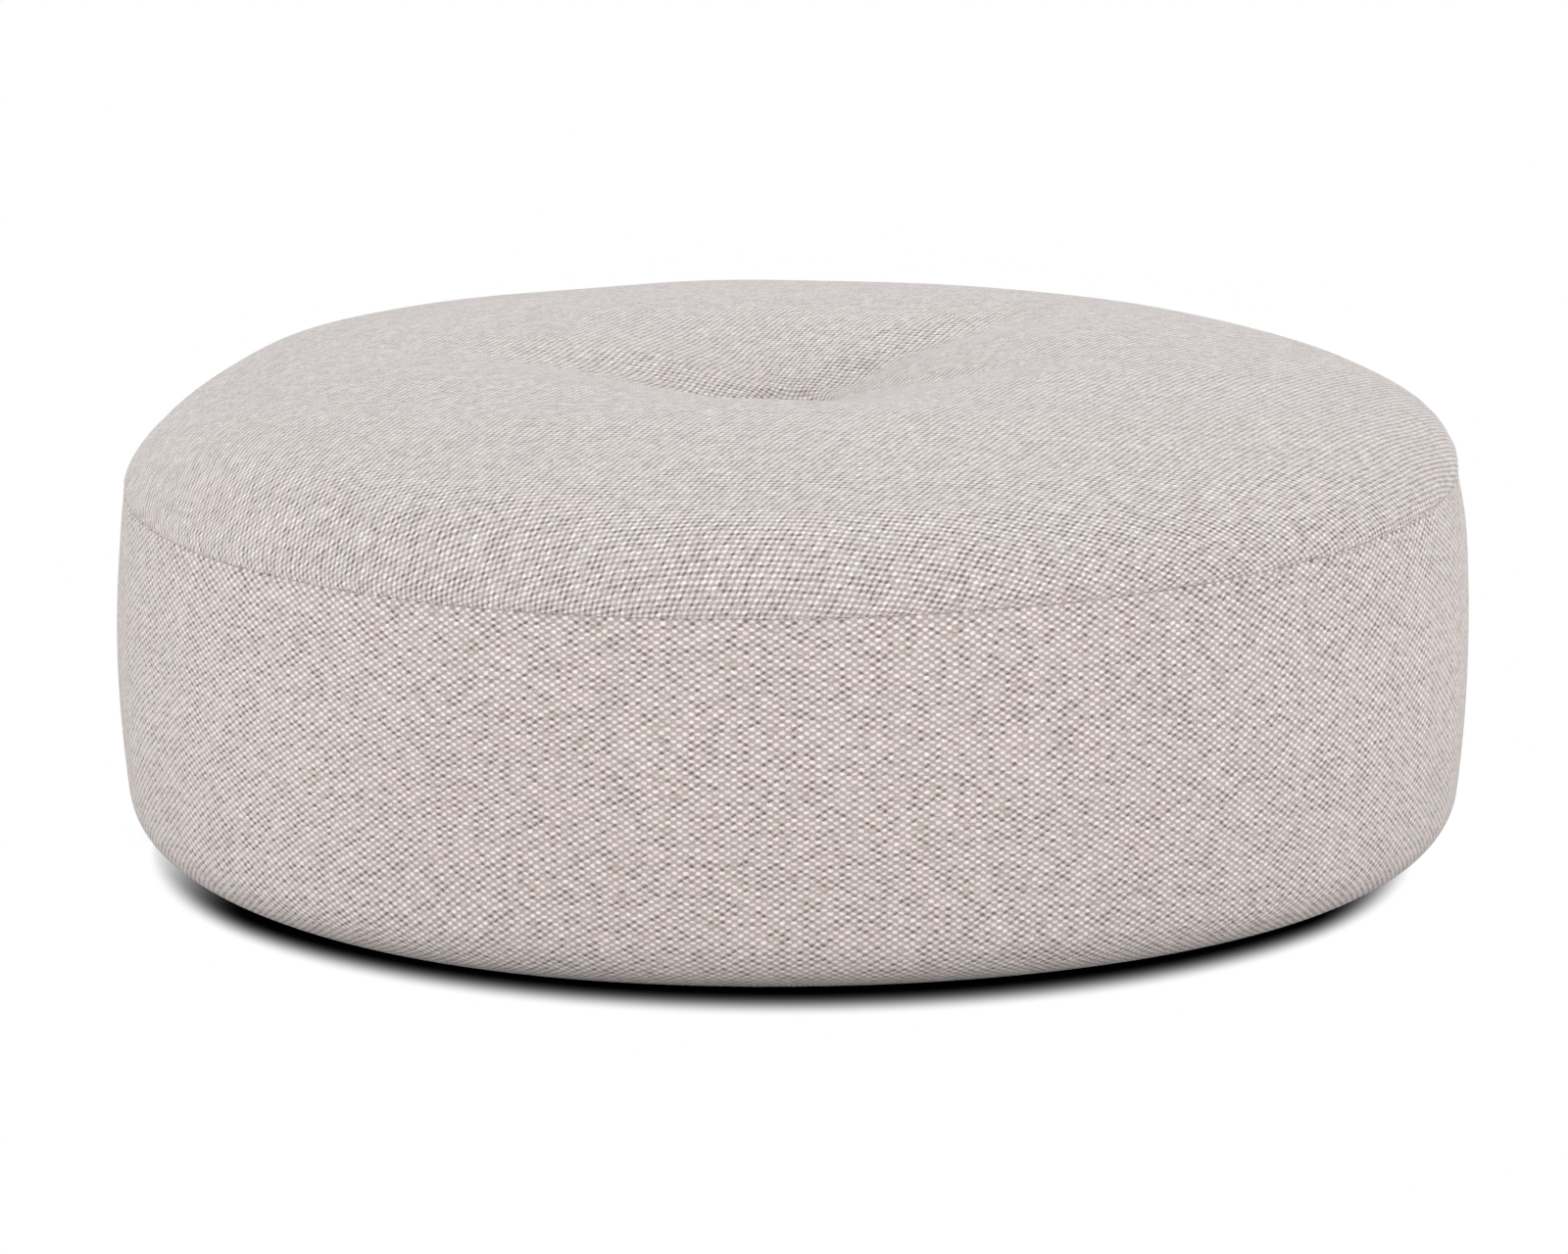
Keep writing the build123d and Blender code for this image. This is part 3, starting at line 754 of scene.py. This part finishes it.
def burlapMaterial():
    recipe = Recipe("burlap")
    place = recipe.place()
    x, y = recipe.parts(place)[:2]
    over, ridges = plainWeave(recipe, x, y, sacking["thread"])
    fibre = recipe.noise(place, sacking["fibreScale"], detail=4.0)
    thread = recipe.mix(fibre, sacking["light"], sacking["dark"])
    closed = recipe.ease(ridges, sacking["openFrom"], sacking["openTo"])
    # The openings between threads take the dark colour: painted shade
    colour = recipe.mix(closed, sacking["between"], thread)
    return recipe.finish(Base_Color=colour, Roughness=0.92, Normal=recipe.bump(ridges + over * 0.5, sacking))


# Wood: stretched noise as grain on the faces; on upright faces plies can show as level stripes
wood = dict(
    grain=(9.0, 130.0, 90.0), pores=(60.0, 900.0, 600.0), poreFrom=0.62, poreTo=0.75,
    glue=0.3, sideFrom=0.45, sideTo=0.55, poreDark=0.5, poreDeep=0.3, relief=0.0002, strength=0.3,
)


def woodMaterial(name, light, dark, plies=0.0, rough=0.55):
    recipe = Recipe(name)
    place = recipe.place()
    height = recipe.parts(place)[2]
    facing = recipe.parts(recipe.node("ShaderNodeNewGeometry", output="Normal"))[2]
    grain = recipe.noise(recipe.spread(place, wood["grain"]), detail=4.0, rough=0.6)
    pores = recipe.noise(recipe.spread(place, wood["pores"]))
    face = recipe.mix(grain, light, dark)
    holes = recipe.ease(pores, wood["poreFrom"], wood["poreTo"])
    face = recipe.mix(holes, face, recipe.mix(wood["poreDark"], face, dark))
    if plies:
        stripe = recipe.ease((height * (2 * math.pi / plies)).sine(), -wood["glue"], wood["glue"])
        flat = recipe.ease(facing.size(), wood["sideFrom"], wood["sideTo"])
        face = recipe.mix(flat, recipe.mix(stripe, dark, light), face)
    raised = recipe.bump(grain + pores * wood["poreDeep"], wood)
    return recipe.finish(Base_Color=face, Roughness=rough, Normal=raised)


# Smooth brown hardboard: pressed fibre as fine specks
board = dict(
    speckScale=700.0, cloudScale=22.0, darkest=0.9, clouded=0.2, relief=0.0001, strength=0.3,
    light=tint(128, 92, 60), dark=tint(88, 60, 38),
)


def hardboardMaterial():
    recipe = Recipe("brownHardboard")
    place = recipe.place()
    specks = recipe.noise(place, board["speckScale"], detail=3.0, rough=0.7)
    clouds = recipe.noise(place, board["cloudScale"], detail=3.0)
    colour = recipe.mix(specks, board["light"], board["dark"])
    shade = recipe.grey(board["darkest"] + board["clouded"] * clouds)
    colour = recipe.mix(1.0, colour, shade, "MULTIPLY")
    return recipe.finish(Base_Color=colour, Roughness=0.5, Normal=recipe.bump(specks, board))


# Spunbonded underlay: black fibres pressed in a fine grid of dots
felt = dict(
    dots=0.0022, relief=0.0002, strength=0.5, fibreScale=900.0, dotFrom=0.80, dotTo=0.95,
    dark=tint(22, 22, 23), light=tint(52, 52, 54), pressed=tint(16, 16, 17),
)


def underlayMaterial():
    recipe = Recipe("blackUnderlay")
    place = recipe.place()
    x, y = recipe.parts(place)[:2]
    over, ridges = plainWeave(recipe, x, y, felt["dots"])
    fibre = recipe.noise(place, felt["fibreScale"], detail=4.0, rough=0.7)
    colour = recipe.mix(fibre, felt["dark"], felt["light"])
    colour = recipe.mix(recipe.ease(over, felt["dotFrom"], felt["dotTo"]), colour, felt["pressed"])
    return recipe.finish(Base_Color=colour, Roughness=0.85, Normal=recipe.bump(ridges, felt))


# Drawn steel: bright, faintly clouded
drawnSteel = dict(cloudScale=180.0, clouded=0.15, dull=tint(110, 110, 114), dulled=0.3)


def steelMaterial(name, colour, rough):
    recipe = Recipe(name)
    clouds = recipe.noise(recipe.place(), drawnSteel["cloudScale"], detail=3.0)
    dull = recipe.mix(drawnSteel["dulled"], colour, drawnSteel["dull"])
    shade = recipe.mix(clouds, colour, dull)
    return recipe.finish(Base_Color=shade, Metallic=1.0, Roughness=rough + drawnSteel["clouded"] * clouds)


# Waxed twine: strands wind round its upright run, with painted shade in the grooves between them
twine = dict(
    strands=3.0, lay=1800.0, relief=0.0003, strength=0.8,
    between=tint(186, 172, 142), strand=tint(232, 222, 198),
)


def twineMaterial():
    recipe = Recipe("waxedTwine")
    x, y, z = recipe.parts(recipe.place())
    turn = recipe.node("ShaderNodeMath", {"operation": "ARCTAN2"}, {0: y, 1: x})
    strand = (turn * twine["strands"] + z * twine["lay"]).sine() * 0.5 + 0.5
    # Darker between the strands: painted shade in the grooves
    colour = recipe.mix(strand, twine["between"], twine["strand"])
    return recipe.finish(Base_Color=colour, Roughness=0.5, Normal=recipe.bump(strand, twine))


# A CAD node keeps its mesh and gets its finish
def dress(material, *names):
    for name in names:
        slots = nodes[name].data.materials
        slots.clear()
        slots.append(material)


# The nodes whose names start so
def named(*starts):
    return sorted(name for name in nodes if name.startswith(starts))


creamFoam = foamMaterial()
crownFoam.data.materials.append(creamFoam)
dress(creamFoam, "foam_core", "foam_side_wrap")
for prefix, across in (("webbing_across_", True), ("webbing_along_", False)):
    straps = named(prefix)
    middles = sorted(sum(corner[1 if across else 0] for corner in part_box(strap)) / 2 for strap in straps)
    dress(webbingMaterial(prefix + "jute", across, middles[0], middles[1] - middles[0]), *straps)
dress(burlapMaterial(), "burlap_sheet")
plywood = woodMaterial("birchPlywood", tint(226, 198, 154), tint(188, 150, 104), plies=0.0028)
dress(plywood, *named("deck_ring", "base_r", "upright_"))
dress(hardboardMaterial(), *named("side_panel_"))
dress(underlayMaterial(), "dust_cover")
beech = woodMaterial("plainBeech", tint(214, 172, 128), tint(172, 126, 84), rough=0.45)
dress(beech, "tuft_toggle")
stained = woodMaterial("blackStain", tint(38, 34, 32), tint(18, 16, 15), rough=0.35)
dress(stained, "foot_1", "foot_2", "foot_3", "foot_4")
stapleSteel = steelMaterial("stapleWire", tint(196, 196, 200), rough=0.32)
dress(stapleSteel, "webbing_staples")
dress(steelMaterial("nailSteel", tint(176, 176, 180), rough=0.36), "foot_nails")
dress(twineMaterial(), "tuft_twine")
dustStapleBars.data.materials.append(stapleSteel)
print("materials made")

for piece, replaced, slot in (
    (topCover, "cover_top_panel", "cover_cloth"),
    (bandCover, "cover_side_band", "cover_cloth"),
    (buttonCover, "tuft_button", "cover_cloth"),
    (crownFoam, "foam_crown", "cushion_foam"),
):
    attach(piece, "root")
    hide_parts(replaced)
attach(dustStapleBars, "root")


# floor, light and camera

# Pale and slightly warm, with a near-black painted shadow under the table. The camera sees it turn to white
# beyond that shadow:
# in front by the way out past an arc of the shadow's radius, behind by the distance from the centre
ground = dict(
    reach=9.0, under=-0.0003, pale=tint(235, 230, 228), deep=tint(10, 10, 10), paintedShadowFrom=0.460, paintedShadowTo=0.560,
    arc=0.4765, aside=-0.0085, whiteFrom=-0.043, whiteTo=0.030, sideFrom=0.385, sideTo=0.495,
    backFrom=0.478, backTo=0.508, behindFrom=-0.05, behindTo=0.10, falloff=2.2,
)


# Whiteness: 1 minus the product of what front, side and back leave as painted shadow, to the falloff's power
def floorMaterial():
    g = ground
    recipe = Recipe("paleFloor")
    x, y = recipe.parts(recipe.place())[:2]
    radius = (x * x + y * y) ** 0.5
    # Painted shadow: the floor's colour is near black under the table and grows pale outwards
    colour = recipe.mix(recipe.ease(radius, g["paintedShadowFrom"], g["paintedShadowTo"]), g["deep"], g["pale"])
    plain = recipe.node("ShaderNodeBsdfDiffuse", inputs={"Color": colour})
    white = recipe.node("ShaderNodeEmission", inputs={"Color": [1.0, 1.0, 1.0, 1.0], "Strength": 1.0})
    aside = x - g["aside"]
    past = 0.0 - y - (g["arc"] ** 2 - aside * aside).most(0.0) ** 0.5
    front = recipe.ease(past, g["whiteFrom"], g["whiteTo"])
    side = recipe.ease(aside.size(), g["sideFrom"], g["sideTo"])
    back = recipe.ease(radius, g["backFrom"], g["backTo"]) * recipe.ease(y, g["behindFrom"], g["behindTo"])
    whiteness = (1.0 - (1.0 - front) * (1.0 - side) * (1.0 - back)) ** g["falloff"]
    shown = recipe.node("ShaderNodeMixShader", inputs={0: recipe.plainRays() * whiteness, 1: plain, 2: white})
    clear = recipe.node("ShaderNodeBsdfTransparent")
    behind = recipe.node("ShaderNodeNewGeometry", output="Backfacing")
    return recipe.surface(recipe.node("ShaderNodeMixShader", inputs={0: behind, 1: shown, 2: clear}))


sides = (-ground["reach"], ground["reach"])
floorPoints = np.array([[[x, y, ground["under"]] for x in sides] for y in sides])
floor = gridPiece("floor", floorPoints, closed=False)
floor.data.materials.append(floorMaterial())


# Even light all round; what the camera, gloss and glass see of it is plain white
studio = dict(even=0.72, tone=(0.985, 0.993, 1.0))


def studioWorld():
    recipe = Recipe("studio", bpy.data.worlds.new("studio"))
    light = {"Color": (*studio["tone"], 1.0), "Strength": studio["even"]}
    soft = recipe.node("ShaderNodeBackground", inputs=light)
    white = recipe.node("ShaderNodeBackground", inputs={"Color": (1.0, 1.0, 1.0, 1.0)})
    blend = recipe.node("ShaderNodeMixShader", inputs={0: recipe.plainRays(), 1: soft, 2: white})
    return recipe.surface(blend, "ShaderNodeOutputWorld")


bpy.context.scene.world = studioWorld()

# Soft square lamps: place, what it faces, side and power
lamps = dict(
    frontLeft=dict(place=(-2.9, -2.65, 1.25), target=(0, 0, 0.2), side=1.9, power=48.5),
    frontRight=dict(place=(3.2, -2.05, 1.1), target=(0, 0, 0.2), side=1.8, power=42.5),
    above=dict(place=(0.2, 1.3, 3.3), target=(0, 0, 0.3), side=3.0, power=45.0),
)
for name, made in lamps.items():
    data = bpy.data.lights.new(name, "AREA")
    data.shape = "SQUARE"
    data.size = made["side"]
    data.energy = made["power"]
    data.color = studio["tone"]
    lamp = bpy.data.objects.new(name, data)
    bpy.context.scene.collection.objects.link(lamp)
    lamp.location = made["place"]
    aim = mathutils.Vector(made["target"]) - mathutils.Vector(made["place"])
    lamp.rotation_euler = aim.to_track_quat("-Z", "Y").to_euler()

# The camera: its pitch in radians, its focal length and picture width in pixels, its sensor in millimetres
lens = dict(
    distance=6.5, height=1.6524, aside=-0.0068, pitch=0.2249,
    focal=9015.8, width=1600.0, sensor=36.0, end=100.0,
)
camera = bpy.data.cameras.new("camera")
camera.sensor_fit = "HORIZONTAL"
camera.sensor_width = lens["sensor"]
camera.lens = lens["sensor"] * lens["focal"] / lens["width"]
camera.clip_end = lens["end"]
cameraObject = bpy.data.objects.new("camera", camera)
bpy.context.scene.collection.objects.link(cameraObject)
cameraObject.location = (lens["aside"], -lens["distance"], lens["height"])
cameraObject.rotation_euler = (math.pi / 2 - lens["pitch"], 0.0, 0.0)
bpy.context.scene.camera = cameraObject
bpy.context.scene.view_settings.view_transform = "Standard"
print("camera and light placed")
